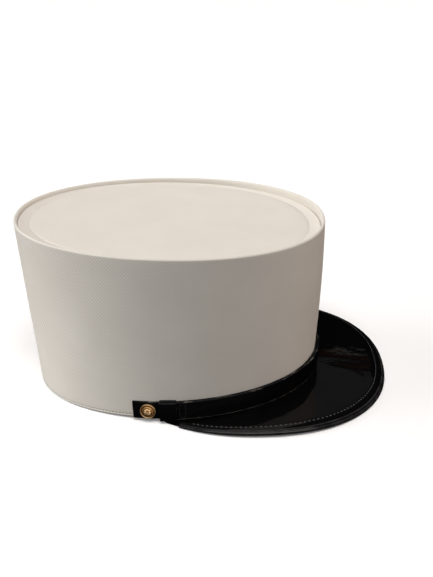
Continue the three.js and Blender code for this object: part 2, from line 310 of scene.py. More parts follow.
# %% [markdown]
# ## Colours and nodes
# Colours are written as the hex values that a painter would pick on a screen. A shader works with
# light instead, so one function takes the screen's curve out of them. The other function adds a
# node, sets it up and joins its inputs, so that each finish below reads like a list.

# %% Colour and node helpers
def linear(hex_colour):
    """A screen colour such as 'DFD7CC' as the light that a shader works in."""
    channels = [int(hex_colour[i : i + 2], 16) / 255 for i in (0, 2, 4)]
    light = [c / 12.92 if c <= 0.04045 else ((c + 0.055) / 1.055) ** 2.4 for c in channels]
    return (*light, 1)


def node(tree, kind, sockets=None, shades=(), **settings):
    """Adds one node, with values or links for its sockets and screen colours for a ramp's stops."""
    added = tree.nodes.new("ShaderNode" + kind)
    for setting, value in settings.items():
        setattr(added, setting, value)
    for socket, value in (sockets or {}).items():
        if isinstance(value, bpy.types.NodeSocket):
            tree.links.new(value, added.inputs[socket])
        else:
            added.inputs[socket].default_value = value
    for _ in shades[2:]:
        added.color_ramp.elements.new(0.5)
    for stop, (share, hex_colour) in enumerate(shades):
        added.color_ramp.elements[stop].position = share
        added.color_ramp.elements[stop].color = linear(hex_colour)
    return added


def new_finish(name):
    """An empty node material and its tree."""
    material = bpy.data.materials.new(name)
    material.use_nodes = True
    material.node_tree.nodes.clear()
    return material, material.node_tree


# A wave texture turns 20 radians in one unit, and here one unit of the flat map is a millimetre
WAVE_OF_ONE = 2 * math.pi / 20


def wave_scale(spacing_mm):
    return WAVE_OF_ONE / spacing_mm


print(f"a wave of 1.5 mm needs a scale of {wave_scale(1.5):.3f}")


# %% [markdown]
# ## Cotton twill
# The crown is bleached cotton twill, woven so that each weft thread passes over the warp one step
# further along. That gives it slanting ribs. They rise to the right at a little under 50 degrees,
# about 1.5 mm apart, which is just wide enough to show in the picture. Small waves across the ribs
# stand for the single threads. They are drawn twice as coarse as the real 0.4 mm.
# The cloth has a dull, soft surface: a roughness of about 0.8 and a little sheen from its fibres.
# Slow noise makes the white a little uneven, as in cloth that has been washed and handled, and the grooves
# between the ribs are painted darker than their crests, a painted shade in the weave. The top is painted a
# shade paler than the side, a painted light for the top that faces the lamp above, and its ribs show more,
# so it has its own copy.

# %% Cotton twill
twill_rib_mm = 1.5
twill_thread_mm = 0.8
twill_rise = 48
twill_patch_mm = 38
twill_slub_mm = 2.4
thread_relief = 0.25
slub_relief = 0.5
weave_shade = 0.5
patch_shade = 0.35
least_shade = 0.15


def cotton_twill(name, shaded, plain, lit, rib_depth_mm):
    material, tree = new_finish(name)
    place = node(tree, "UVMap", uv_map="flat_mm").outputs["UV"]
    slant = (0, 0, math.radians(90 - twill_rise))
    slanted = node(tree, "Mapping", {"Vector": place, "Rotation": slant}).outputs["Vector"]
    rib_form = {"Scale": wave_scale(twill_rib_mm), "Distortion": 0.9, "Detail": 1, "Detail Scale": 0.9}
    ribs = node(tree, "TexWave", {"Vector": slanted, **rib_form}, bands_direction="X")
    thread_form = {"Scale": wave_scale(twill_thread_mm), "Distortion": 1.2}
    threads = node(tree, "TexWave", {"Vector": slanted, **thread_form}, bands_direction="Y")
    slubs = node(tree, "TexNoise", {"Vector": place, "Scale": 1 / twill_slub_mm, "Detail": 3})
    patches = node(tree, "TexNoise", {"Vector": place, "Scale": 1 / twill_patch_mm, "Detail": 4})

    # Each of these is one texture times a share, plus what is there already
    thread_part = {0: threads.outputs["Fac"], 1: thread_relief, 2: 1 - thread_relief}
    threaded = node(tree, "Math", thread_part, operation="MULTIPLY_ADD")
    weave = node(tree, "Math", {0: ribs.outputs["Fac"], 1: threaded.outputs[0]}, operation="MULTIPLY")
    slub_part = {0: slubs.outputs["Fac"], 1: slub_relief, 2: weave.outputs[0]}
    fuzzy = node(tree, "Math", slub_part, operation="MULTIPLY_ADD")
    patch_part = {0: patches.outputs["Fac"], 1: patch_shade, 2: least_shade}
    aged = node(tree, "Math", patch_part, operation="MULTIPLY_ADD")
    # The rib grooves are painted darker than the crests, a painted shade in the weave; the slow patches are
    # uneven tone at random
    weave_part = {0: weave.outputs[0], 1: weave_shade, 2: aged.outputs[0]}
    groove_shade_and_mottle = node(tree, "Math", weave_part, operation="MULTIPLY_ADD")

    bump = node(tree, "Bump", {"Height": fuzzy.outputs[0], "Distance": rib_depth_mm / 1000, "Strength": 1})
    tones = ((0.3, shaded), (0.55, plain), (0.85, lit))
    shades = node(tree, "ValToRGB", {"Fac": groove_shade_and_mottle.outputs[0]}, shades=tones)
    surface = node(
        tree,
        "BsdfPrincipled",
        {
            "Base Color": shades.outputs["Color"],
            "Roughness": 0.82,
            "IOR": 1.47,
            "Specular IOR Level": 0.3,
            "Sheen Weight": 0.12,
            "Sheen Roughness": 0.5,
            "Normal": bump.outputs["Normal"],
        },
    )
    node(tree, "OutputMaterial", {"Surface": surface.outputs["BSDF"]})
    return material


# Two copies of one cloth: the side is painted darker and the top paler, painted shade and painted light for
# how each faces the lamps
side_twill = cotton_twill("bleached_cotton_twill", "D0CAC1", "DAD5CC", "E4E0D8", rib_depth_mm=0.05)
top_twill = cotton_twill("bleached_cotton_twill_top", "DCD5CB", "E5DED4", "ECE7DF", rib_depth_mm=0.1)
print(f"twill ribs {twill_rib_mm} mm apart, rising at {twill_rise} degrees")


# %% [markdown]
# ## Patent leather
# Patent leather is cowhide with a thick coat of black lacquer, polished like glass. In the shader
# that is a dark, fairly dull base under a clear coat with an index of 1.5 and hardly any roughness.
# A full coat would mirror the white crown too strongly, so the peak has 0.3 of one and the strap,
# which is rubbed a little duller, 0.25. The eye reads lacquer from its reflections, and they are
# never quite straight: the hide under it leaves slow waves about 28 mm long and a few tenths of a
# millimetre deep, and much shallower ripples. The binding keeps 0.8 of a coat and shows a fine
# grain, because its thin leather is stretched round the edge.

# %% Patent leather
hide_wave_mm = 28
lacquer_ripple_mm = 4
ripple_depth_share = 1 / 12
rub_mm = 9
rub_shade = 0.3


def patent_leather(name, shades, coat, coat_roughness, wave_depth_mm, grain_mm, grain_depth_mm):
    material, tree = new_finish(name)
    place = node(tree, "UVMap", uv_map="flat_mm").outputs["UV"]
    waves = node(tree, "TexNoise", {"Vector": place, "Scale": 1 / hide_wave_mm, "Detail": 1})
    ripples = node(tree, "TexNoise", {"Vector": place, "Scale": 1 / lacquer_ripple_mm, "Detail": 1})
    grain = node(tree, "TexVoronoi", {"Vector": place, "Scale": 1 / grain_mm}, feature="SMOOTH_F1")
    rubs = node(tree, "TexNoise", {"Vector": place, "Scale": 1 / rub_mm, "Detail": 5})

    # Three bumps, each laid over the one before: the hide's waves, the ripples and the grain
    wave_form = {"Height": waves.outputs["Fac"], "Distance": wave_depth_mm / 1000, "Strength": 1}
    slow = node(tree, "Bump", wave_form)
    ripple_depth = wave_depth_mm * ripple_depth_share / 1000
    ripple_form = {"Height": ripples.outputs["Fac"], "Distance": ripple_depth, "Strength": 1}
    rippled = node(tree, "Bump", {**ripple_form, "Normal": slow.outputs["Normal"]})
    grain_form = {"Height": grain.outputs["Distance"], "Distance": grain_depth_mm / 1000, "Strength": 1}
    grained = node(tree, "Bump", {**grain_form, "Normal": rippled.outputs["Normal"]})

    # Worn points take the last tone; on the strap that tone is nearly white, a painted highlight along its
    # lower edge as well as wear
    wear_film_and_highlight = node(tree, "Attribute", attribute_name="wear_film_and_highlight")
    rub_and_highlight = node(tree, "Math", {0: wear_film_and_highlight.outputs["Fac"], 1: rubs.outputs["Fac"]}, operation="MULTIPLY")
    tone_part = {0: rubs.outputs["Fac"], 1: rub_shade, 2: rub_and_highlight.outputs[0]}
    tone = node(tree, "Math", tone_part, operation="MULTIPLY_ADD")
    tones = tuple(zip((0.05, 0.25, 0.8), shades))
    colour = node(tree, "ValToRGB", {"Fac": tone.outputs[0]}, shades=tones)
    dullness = node(tree, "MapRange", {"Value": rubs.outputs["Fac"], "To Min": 0.45, "To Max": 0.65})
    surface = node(
        tree,
        "BsdfPrincipled",
        {
            "Base Color": colour.outputs["Color"],
            "Roughness": dullness.outputs["Result"],
            "IOR": 1.5,
            "Specular IOR Level": 0.04,
            "Coat Weight": coat,
            "Coat Roughness": coat_roughness,
            "Coat IOR": 1.5,
            "Normal": grained.outputs["Normal"],
            "Coat Normal": rippled.outputs["Normal"],
        },
    )
    node(tree, "OutputMaterial", {"Surface": surface.outputs["BSDF"]})
    return material


peak_shades = ("030303", "060607", "1C1B1D")
binding_shades = ("060607", "0B0B0C", "343335")
# The strap's last tone is nearly white: on its lower edge a painted highlight as well as wear
strap_tones_and_highlight = ("040406", "07080C", "E0D8C4")
peak_leather = patent_leather("black_patent_leather", peak_shades, 0.3, 0.03, 0.4, 1.2, 0.01)
binding_leather = patent_leather("bound_patent_leather", binding_shades, 0.8, 0.07, 0.2, 0.9, 0.03)
strap_leather = patent_leather("patent_strap_leather", strap_tones_and_highlight, 0.25, 0.08, 0.3, 1.0, 0.02)
print("patent leather for the peak, its binding and the strap")


# %% [markdown]
# ## Gilt brass
# The buttons are stamped from sheet brass and plated with a thin layer of gold. A metal has no
# colour of its own under its reflections, so the whole tint is in the base colour with metallic at
# 1 and the index left alone. A roughness of 0.35 to 0.6 gives wide, soft, bright patches. Polish
# never reaches the hollows of the stamping, so they keep a brown film. The mesh says where those are.

# %% Gilt brass
pits_per_mm = 2.2
pit_depth_mm = 0.03
pit_film = 0.35


def gilt_brass(name):
    material, tree = new_finish(name)
    place = node(tree, "UVMap", uv_map="flat_mm").outputs["UV"]
    pits = node(tree, "TexNoise", {"Vector": place, "Scale": pits_per_mm, "Detail": 4})
    hollow = node(tree, "Attribute", attribute_name="wear_film_and_highlight")
    film_part = {0: pits.outputs["Fac"], 1: pit_film, 2: hollow.outputs["Fac"]}
    film = node(tree, "Math", film_part, operation="MULTIPLY_ADD")
    tones = ((0.1, "F6D8A8"), (0.5, "E8C08A"), (1.0, "94683C"))
    shades = node(tree, "ValToRGB", {"Fac": film.outputs[0]}, shades=tones)
    dullness = node(tree, "MapRange", {"Value": film.outputs[0], "To Min": 0.34, "To Max": 0.6})
    pit_form = {"Height": pits.outputs["Fac"], "Distance": pit_depth_mm / 1000, "Strength": 1}
    bump = node(tree, "Bump", pit_form)
    surface = node(
        tree,
        "BsdfPrincipled",
        {
            "Base Color": shades.outputs["Color"],
            "Metallic": 1,
            "Roughness": dullness.outputs["Result"],
            "Normal": bump.outputs["Normal"],
        },
    )
    node(tree, "OutputMaterial", {"Surface": surface.outputs["BSDF"]})
    return material


gilt = gilt_brass("gilded_stamped_brass")
print("gilt brass for the buttons")


# %% [markdown]
# ## Sewing thread
# Thread is a few fine yarns twisted together. The twist catches light in small slanting bands, and that is
# what tells the eye it is thread and not wire; here the bands are painted too, lighter on the crests and
# darker in the hollows, as painted highlight and painted shade. The hem is sewn with white cotton thread,
# painted a darker grey as painted shade, and the binding with black waxed thread, painted grey as the
# painted sheen of its wax. The few stitches in the strap hardly show, so their thread is nearly black and
# duller.

# %% Sewing thread
twist_mm = 0.7
twist_slant = 35
twist_depth_mm = 0.1


def sewing_thread(name, hollow, crest, roughness):
    material, tree = new_finish(name)
    place = node(tree, "UVMap", uv_map="flat_mm").outputs["UV"]
    slant = (0, 0, math.radians(twist_slant))
    slanted = node(tree, "Mapping", {"Vector": place, "Rotation": slant}).outputs["Vector"]
    twist = node(tree, "TexWave", {"Vector": slanted, "Scale": wave_scale(twist_mm)})
    # The twist is painted lighter on its crests and darker in its hollows: painted highlight and painted
    # shade
    tones = ((0.2, hollow), (0.7, crest))
    shades = node(tree, "ValToRGB", {"Fac": twist.outputs["Fac"]}, shades=tones)
    twist_form = {"Height": twist.outputs["Fac"], "Distance": twist_depth_mm / 1000, "Strength": 0.7}
    bump = node(tree, "Bump", twist_form)
    surface = node(
        tree,
        "BsdfPrincipled",
        {
            "Base Color": shades.outputs["Color"],
            "Roughness": roughness,
            "IOR": 1.5,
            "Normal": bump.outputs["Normal"],
        },
    )
    node(tree, "OutputMaterial", {"Surface": surface.outputs["BSDF"]})
    return material


# The white hem thread is painted dark grey: painted shade for the stitches in the hem's groove
white_thread = sewing_thread("cotton_thread_with_painted_shade", "6E685F", "8F897F", 0.8)
# The black thread is painted grey: a painted sheen for its wax
black_thread = sewing_thread("waxed_black_thread", "3A3A3C", "6A6A6D", 0.4)
dark_thread = sewing_thread("waxed_strap_thread", "0C0C0D", "18181A", 0.6)
print(f"thread with a twist of {twist_mm} mm")

# %% [markdown]
# ## The crown's side
# The side is a band of stiffener with the twill pulled tight over it, turned in at the hem and
# rolled over at the rim. It is modelled as one wall 2.4 mm thick, because what shows is its form:
# the rounded lip, the soft fold of the hem, and the line that the hem stitching presses into it.
# The band's two ends meet at the middle of the back, in a shallow seam. Very slow waves, one or two
# tenths of a millimetre high, keep the wall from looking turned on a lathe.

# %% Section of the side
lip_radius = wall_thickness / 2
hem_fold = 0.6
hem_stitch_height = 1.7
hem_groove_depth = 0.22
hem_groove_width = 0.45
wall_row_spacing = 4
lip_steps = 12
fold_steps = 4
below_lip = 1
below_inner_lip = 1.5

near_hem = [0.9, 1.2, 1.45, 1.7, 1.95, 2.2, 2.6, 3.2, 4.2, 6]
lip_foot = rim_height - lip_radius
upper_rows = np.arange(near_hem[-1] + wall_row_spacing, lip_foot - below_lip, wall_row_spacing)
outer_heights = np.concatenate([near_hem, upper_rows, [lip_foot]])
inner_heights = np.concatenate([[lip_foot - below_inner_lip], upper_rows[::-1], [near_hem[-1], hem_fold]])

side_section = [(0.0, height) for height in outer_heights]
side_section += arc(lip_radius, lip_foot, lip_radius, 180, 0, lip_steps)[1:]
side_section += [(wall_thickness, height) for height in inner_heights]
side_section += arc(wall_thickness - hem_fold, hem_fold, hem_fold, 0, -90, fold_steps)[1:]
side_section += arc(hem_fold, hem_fold, hem_fold, 270, 180, fold_steps)
side_section = np.array(side_section)
on_outer_face = np.arange(len(side_section)) < len(outer_heights)
print(f"the side's section has {len(side_section)} points")

# %% Turns round the side, closer together at the back seam
side_spacing = 3
back_radius = 105
near_seam_mm = np.array([0.25, 0.55, 0.9, 1.4])

even_turns = evenly_spaced(lambda turn: wall_point(turn, rim_height, 0), -np.pi, np.pi, side_spacing)
seam_turns = near_seam_mm / back_radius
near_back = (seam_turns - np.pi, np.pi - seam_turns[::-1])
side_turns = np.concatenate([even_turns[:1], near_back[0], even_turns[1:-1], near_back[1]])
print(f"{len(side_turns)} rows of points round the side")


# %% Side
seam_depth = 0.4
seam_width = 0.45
wave_height = 0.12
# For each wave: how many go round the head, the height in mm for a radian, and where it starts
wave_table = [(5, 31, 0), (8, -23, 1.7), (13, 17, 4.1)]


def side_waves(turn, height):
    """Slow waves of a wall that was shaped by hand, in millimetres. They meet at the back."""
    waves = [np.sin(count * turn + height / climb + start) for count, climb, start in wave_table]
    return wave_height * sum(waves) / 2


turn, inset = np.meshgrid(side_turns, side_section[:, 0], indexing="ij")
height = np.broadcast_to(side_section[:, 1], turn.shape)
outer = np.broadcast_to(on_outer_face, turn.shape)
from_seam = (np.pi - np.abs(turn)) * back_radius
seam = seam_depth * np.exp(-((from_seam / seam_width) ** 2)) * (inset < lip_radius)
groove = hem_groove_depth * np.exp(-(((height - hem_stitch_height) / hem_groove_width) ** 2)) * outer
waves = side_waves(turn, height) * np.sin(np.pi * np.clip(height / rim_height, 0, 1)) * outer
taller = (rim_height + rim_slope * rim_y(turn)) / rim_height
side_points = wall_point(turn, height * taller, waves - inset - seam - groove)

mid_ring = wall_point(np.append(side_turns, np.pi), rim_height / 2, 0)
round_mm = travelled(mid_ring)
side_flat = flat_strip(round_mm, round_section(side_section))
crown_side = skin("twill_side", side_points, side_flat, side_twill, ring=True)
dress(crown_side, "cotton_twill", "crown_side")

# %% [markdown]
# ## The sunken top
# The top is an oval of twill over a thin board, sewn in about 4 mm under the rim. From the crease at
# the wall it is first a narrow ledge, then a shallow groove where the board begins, and then an
# almost flat, slightly cushioned middle. A short table of heights says all of that, and a smooth
# curve through it makes the rounded forms. Each ring of points is the wall's own oval, drawn in.
# The board is rounder than that oval and comes closer to the wall at the two sides, so the ledge
# there is half as wide.

# %% Section of the top
seam_gap = 0.3
edge_inset = wall_thickness + seam_gap
flange_depth = 4.5
flange_thickness = 1.6
straight_inset = 24
centre_inset = 100
innermost_inset = 98.5

top_table = [
    {"inset": 2.7, "height": -0.8},
    {"inset": 3.3, "height": -0.25},
    {"inset": 4, "height": -0.08},
    {"inset": 5.5, "height": -0.2},
    {"inset": 8.6, "height": -0.55},
    {"inset": 10.2, "height": -0.85},
    {"inset": 10.9, "height": -1.1},
    {"inset": 11.6, "height": -0.8},
    {"inset": 14, "height": -0.4},
    {"inset": 20, "height": -0.12},
    {"inset": 40, "height": 0.1},
    {"inset": 70, "height": 0.15},
    {"inset": innermost_inset, "height": 0.1},
]


# %% A smooth curve through the table
def smooth_curve(x, known_x, known_y):
    """A smooth curve through known points that never overshoots them."""
    known_x, known_y = np.asarray(known_x, float), np.asarray(known_y, float)
    slopes = np.diff(known_y) / np.diff(known_x)
    same_way = slopes[:-1] * slopes[1:] > 0
    both = np.where(same_way, slopes[:-1] + slopes[1:], 1)
    inner = np.where(same_way, 2 * slopes[:-1] * slopes[1:] / both, 0)
    tangents = np.concatenate([slopes[:1], inner, slopes[-1:]])
    i = np.clip(np.searchsorted(known_x, x) - 1, 0, len(slopes) - 1)
    width = known_x[i + 1] - known_x[i]
    t = (x - known_x[i]) / width
    rise = known_y[i] * (2 * t**3 - 3 * t**2 + 1) + known_y[i + 1] * (3 * t**2 - 2 * t**3)
    return rise + width * (tangents[i] * (t**3 - 2 * t**2 + t) + tangents[i + 1] * (t**3 - t**2))


# %% Rings of the top
# Rings at the crease, then close together over the ledge and groove, then further apart
ring_runs = [(2.7, 3.4, 4), (4, 14, 26), (15, innermost_inset, 34)]
top_insets = np.concatenate([np.linspace(*run) for run in ring_runs])
top_heights = smooth_curve(
    top_insets, [row["inset"] for row in top_table], [row["height"] for row in top_table]
)
# The underside needs fewer rings, and lies one board's thickness lower
under_insets = np.array([innermost_inset, 60, 20, 14, 11, 8, edge_inset + flange_thickness])
under_heights = np.interp(under_insets, top_insets, top_heights) - panel_thickness
flange_section = [(edge_inset + flange_thickness, -flange_depth), (edge_inset, -flange_depth)]
top_section = np.concatenate(
    [
        np.column_stack([under_insets, under_heights]),
        flange_section,
        np.column_stack([top_insets, top_heights]),
    ]
)
print(f"the top's section has {len(top_section)} points")

# %% Top
cushion_height = 0.3
lift_at_sides = 0.8
ledge_share_at_sides = 0.5
ledge_end = 14
cushion_start = 11
cushion_full = 30

turn, inset = np.meshgrid(even_turns[:-1], top_section[:, 0], indexing="ij")
sideways = np.sin(turn) ** 2
narrowing = (1 - ledge_share_at_sides) * sideways * (1 - smooth_step(inset, ledge_end, straight_inset))
narrowing = np.where(np.arange(len(top_section)) < len(top_section) - len(top_insets), 0, narrowing)
inset = inset - narrowing * (inset - edge_inset)
share_out = np.clip((centre_inset - inset) / (centre_inset - straight_inset), 0, 1)
lift = lift_at_sides * sideways
crease = panel_height + lift + panel_slope * rim_y(turn)
top_points = wall_point(turn, crease + top_section[:, 1], -np.minimum(inset, straight_inset))
top_points[..., 0] *= share_out
top_points[..., 1] = blend_between(rim_centre_y, top_points[..., 1], share_out)
slow_x, slow_y = top_points[..., 0], top_points[..., 1]
# A long wave each way, and a shorter one, half as high, slanting across both
long_wave = np.sin(slow_x / 24 + 0.6) * np.sin(slow_y / 31 - 0.4)
short_wave = np.sin(slow_x / 13 + slow_y / 17)
from_ledge = smooth_step(top_section[:, 0], cushion_start, cushion_full)
cushioning = (long_wave + 0.5 * short_wave) * cushion_height * from_ledge
top_points[..., 2] = panel_height + lift * share_out + panel_slope * slow_y + top_section[:, 1] + cushioning

closed_turns = np.append(np.arange(len(even_turns) - 1), 0)
top_flat = top_points[closed_turns][..., :2]
crown_top = skin("twill_top", top_points, top_flat, top_twill, ring=True, loop=False)
dress(crown_top, "top_twill", "crown_top")

# %% [markdown]
# ## Two sheets of cloth
# The side is a curved strip, so its area is less than that of the rectangle it was cut from, and only the
# length of its rim is measured here. Nothing is simulated: the cloth is glued to its board and can't hang or
# drape.

side_length = travelled(wall_point(np.append(side_turns, np.pi), rim_height, 0))[-1] / 1000

# %% [markdown]
# ## Stitches
# A machine stitch is a short length of thread that comes up through one hole and goes down through
# the next. Each one is a small tube, arched so that both ends dive into the work, and a whole row
# is joined in one mesh. Geometry is worth it here: a row of stitches is what shows that an edge is
# sewn, and it has to hold up from every side.

# %% A row of stitches
stitch_rings = 7
stitch_sides = 8
stitch_taper = 0.8
stitch_size = stitch_rings * stitch_sides


def stitch_row(name, middles, alongs, outs, length, thickness, material):
    """Small arched tubes at the middles given, lying along and facing out, in one mesh."""
    run = np.linspace(-1, 1, stitch_rings)
    girth = thickness / 2 * np.sqrt(1 - stitch_taper * run**4)
    around = np.arange(stitch_sides) * 2 * np.pi / stitch_sides
    alongs = unit(alongs)
    outs = unit(outs)
    across = np.cross(alongs, outs)
    centres = middles[:, None] + alongs[:, None] * run[:, None] * length / 2
    centres = centres - outs[:, None] * run[:, None] ** 2 * thickness
    ring = across[:, None, None] * np.cos(around)[:, None] + outs[:, None, None] * np.sin(around)[:, None]
    points = centres[:, :, None] + ring * girth[:, None, None]

    ring_mm = length / stitch_rings
    side_mm = 0.4 * thickness
    faces = []
    flat_places = []
    for first in range(0, len(middles) * stitch_size, stitch_size):
        for r, s in np.ndindex(stitch_rings - 1, stitch_sides):
            low = first + r * stitch_sides
            beside = (s + 1) % stitch_sides
            faces.append([low + s, low + beside, low + stitch_sides + beside, low + stitch_sides + s])
            places = [(r, s), (r, s + 1), (r + 1, s + 1), (r + 1, s)]
            flat_places += [(a * ring_mm, b * side_mm) for a, b in places]
        for end in (first, first + stitch_size - stitch_sides):
            faces.append([end + s for s in range(stitch_sides)])
            flat_places += [(0, s) for s in range(stitch_sides)]
    return join_skin(name, points, faces, flat_places, material)


print(f"each stitch is a tube of {stitch_rings} rings with {stitch_sides} points each")

# %% [markdown]
# The hem's stitches are 2.5 mm apart, 1.7 mm above the edge. The thread is drawn 0.5 mm thick instead
# of 0.3 mm, or it would be lost at the size of the picture.

# %% Hem stitches
hem_stitch_spacing = 2.5
hem_stitch_length = 1.9
hem_thread = 0.5


def hem_line(turn):
    return wall_point(turn, hem_stitch_height, -hem_groove_depth)


stitch_turns = evenly_spaced(hem_line, -np.pi, np.pi, hem_stitch_spacing)
middle_turns = (stitch_turns[:-1] + stitch_turns[1:]) / 2
stitch_middles = hem_line(middle_turns)
stitch_alongs = hem_line(stitch_turns[1:]) - hem_line(stitch_turns[:-1])
stitch_outs = wall_point(middle_turns, hem_stitch_height, 1) - stitch_middles
hem_stitches = stitch_row(
    "hem_stitches", stitch_middles, stitch_alongs, stitch_outs, hem_stitch_length, hem_thread, white_thread
)
dress(hem_stitches, "cotton_twill")

# %% [markdown]
# ## The peak
# The peak is cut flat from thick leather, lacquered, and pressed into its curve while it is warm. Its
# outer edge is one squared oval and its root follows the wall. A line is drawn from each point of
# the root to a point of the edge, and the surface is those lines. The last 7 or 8 mm are turned down,
# which is why the near rim shows so wide in the photograph and the far rim so narrow.
# Another table gives the height of both ends, from the middle of the front round to the side.

# %% Sizes of the peak
peak_centre_y = -58
peak_half_length = 95.6
peak_half_width = 109
peak_power = 2.25
peak_sweep = math.radians(128)
peak_root_turn = math.radians(91)
rim_fall = 3.6
rim_bend_from_edge = 7.5
rim_bend_reach = 2.5
rim_bend_most_share = 0.6
rim_reach_most_share = 0.35
peak_rim_thickness = 0.9
peak_tail_inset = 0.2
peak_table = [
    {"root": 3.2, "edge": -4.7, "thickness": 2},
    {"root": 2.95, "edge": -4.6, "thickness": 2},
    {"root": 2.35, "edge": -3.4, "thickness": 2},
    {"root": 1.35, "edge": -1.5, "thickness": 2},
    {"root": -0.75, "edge": -0.8, "thickness": 1.5},
    {"root": -1.65, "edge": -1.65, "thickness": 0.9},
]
print(f"the edge of the peak is an oval of {2 * peak_half_length} x {2 * peak_half_width} mm")


# %% A point of the peak
def peak_value(column, share):
    """A column of the table at a share of the way round, on a smooth curve that is level in front."""
    values = np.array([row[column] for row in peak_table])
    values = np.concatenate([values[1:2], values, values[-1:]])
    place = np.clip(np.abs(share), 0, 1) * (len(peak_table) - 1)
    i = np.minimum(place.astype(int), len(peak_table) - 2)
    t = place - i
    before, low, high, after = values[i], values[i + 1], values[i + 2], values[i + 3]
    start, end = (high - before) / 2, (after - low) / 2
    curve = (2 * low - 2 * high + start + end) * t**3 + (3 * high - 3 * low - 2 * start - end) * t**2
    return curve + start * t + low


def peak_line(share):
    """The line across the peak: its ends at the root and the edge, without height, and its length."""
    sweep = share * peak_sweep
    root_top = peak_value("root", share) + peak_value("thickness", share) / 2
    root = wall_point(share * peak_root_turn, root_top, seam_gap)[..., :2]
    edge_x = peak_half_width * spread(np.sin(sweep), peak_power)
    edge_y = peak_centre_y - peak_half_length * spread(np.cos(sweep), peak_power)
    edge = np.stack([edge_x, edge_y], axis=-1)
    return root, edge, np.linalg.norm(root - edge, axis=-1)


def peak_point(share, inward, rise):
    """A point of the peak, so far in from its outer edge and so far over its mid-height."""
    share, inward, rise = np.broadcast_arrays(share, inward, rise)
    root, edge, width = peak_line(share)
    out = 1 - inward / width
    root_height, edge_height = peak_value("root", share), peak_value("edge", share)
    bend = np.minimum(rim_bend_from_edge, rim_bend_most_share * width)
    reach = np.minimum(rim_bend_reach, rim_reach_most_share * width)
    fall = rim_fall * np.tanh((root_height - edge_height) / rim_fall)
    into_bend = np.clip(bend + reach - inward, 0, 2 * reach)
    beyond_bend = np.maximum(0, bend - reach - inward)
    fallen = fall * (into_bend**2 / (4 * reach) + beyond_bend) / bend
    middle = blend_between(root_height, edge_height + fall, out) - fallen
    flat = blend_between(root, edge, out[..., None])
    return np.concatenate([flat, (middle + rise)[..., None]], axis=-1)


def edge_line(share):
    return peak_point(share, 0, 0)


print(f"the peak is {peak_line(np.array(0.0))[2]:.0f} mm deep in front")

# %% Peak
binding_share = 0.94
slimming_start = 0.75
slimmest = 0.72
binding_width = 7.2
binding_leather_mm = 0.65
peak_row_spacing = 2.5
peak_columns = 30
closer_at_root = 1.4
root_lift = 0.3
root_lift_width = 1.1


def slimming(share):
    """The bound edge gets slimmer towards its ends, where it runs in under the keepers."""
    return blend_between(1, slimmest, smooth_step(np.abs(share), slimming_start, binding_share))


peak_shares = evenly_spaced(edge_line, -1, 1, peak_row_spacing)[:, None]
peak_width = peak_line(peak_shares[:, 0])[2][:, None]
half_thick = peak_value("thickness", peak_shares) / 2
rim_half = slimming(peak_shares) * peak_rim_thickness / 2
rim_width = np.minimum(binding_width + seam_gap, peak_width / 2)
tail = smooth_step(np.abs(peak_shares), binding_share, 1)
skived_edge = blend_between(binding_leather_mm + seam_gap, peak_tail_inset, tail)
upper_share = np.linspace(0, 1, peak_columns)[None, :]
upper_in = blend_between(peak_width, rim_width, upper_share**closer_at_root)
lift = root_lift * np.exp(-(((peak_width - upper_in) / root_lift_width) ** 2)) * (1 - peak_shares**2)
under_in = upper_in[:, ::-1]
under_rise = -np.repeat(half_thick, peak_columns, axis=1)
inward = np.concatenate([upper_in, rim_width, skived_edge, skived_edge, rim_width, under_in], axis=1)
rise = np.concatenate([half_thick + lift, rim_half, rim_half, -rim_half, -rim_half, under_rise], axis=1)
peak_points = peak_point(peak_shares, inward, rise)
edge_mm = travelled(edge_line(peak_shares[:, 0]))
closed_inward = np.concatenate([inward, inward[:, :1]], axis=1)
peak_flat = np.stack([np.broadcast_to(edge_mm[:, None], closed_inward.shape), closed_inward], axis=-1)
peak_worn = np.zeros(inward.shape)
peak = skin("patent_peak", peak_points, peak_flat, peak_leather, wear_film_and_highlight=peak_worn, sharp_over=40)
dress(peak, "patent_leather", "peak")

# %% [markdown]
# ## The bound edge
# A strip of thin leather is folded over the edge of the peak and sewn down along its inner side. A
# cord under the leather, about 1.7 mm from the edge, raises a bead. Edges are where lacquer wears
# off first, so the top of the bead and the outer fold are marked as worn.

# %% Section of the binding
binding_half = peak_rim_thickness / 2 + seam_gap + binding_leather_mm
bead_from_edge = 1.7
bead_half_width = 0.9
bead_height = 0.45
bead_foot = 0.08
stitch_from_leg = 0.8
stitch_valley = 0.16
valley_half_width = 0.35
leg_corner = 0.25
fold_corner = 0.8
under_start = 2.5
leg_wear = 0.1
fold_wear = 0.8


def binding_section(leg):
    """Points (in from the edge, over the middle) and the wear of each, for a leg of that width."""
    half = binding_half
    inside = half - binding_leather_mm
    near_valley = leg - stitch_from_leg + valley_half_width
    far_valley = leg - stitch_from_leg - valley_half_width
    behind_bead = blend_between(bead_from_edge + bead_half_width, leg, 0.35)
    corner = arc(leg - leg_corner, half - leg_corner, leg_corner, 0, 90, 3)
    points = [(x, y, leg_wear) for x, y in corner]
    points += [(near_valley, half, 0), (leg - stitch_from_leg, half - stitch_valley, 0)]
    points += [(far_valley, half, 0), (behind_bead, half, 0)]
    for x, y in arc(0, 0, 1, 0, 180, 10):
        across = bead_from_edge + bead_half_width * x
        points.append((across, half - bead_foot + (bead_height + bead_foot) * y, y**4))
    fold = arc(fold_corner, half - fold_corner, fold_corner, 100, 180, 6)
    fold += arc(fold_corner, fold_corner - half, fold_corner, 180, 270, 6)
    points += [(x, y, fold_wear) for x, y in fold]
    points += [(under_start, -half, 0), (far_valley, -half, 0)]
    points += [(leg - stitch_from_leg, stitch_valley - half, 0), (near_valley, -half, 0), (leg, -half, 0)]
    points += [(leg, -inside, 0), (binding_leather_mm, -inside, 0), (binding_leather_mm, inside, 0)]
    points += [(leg, inside, 0)]
    return np.array(points)


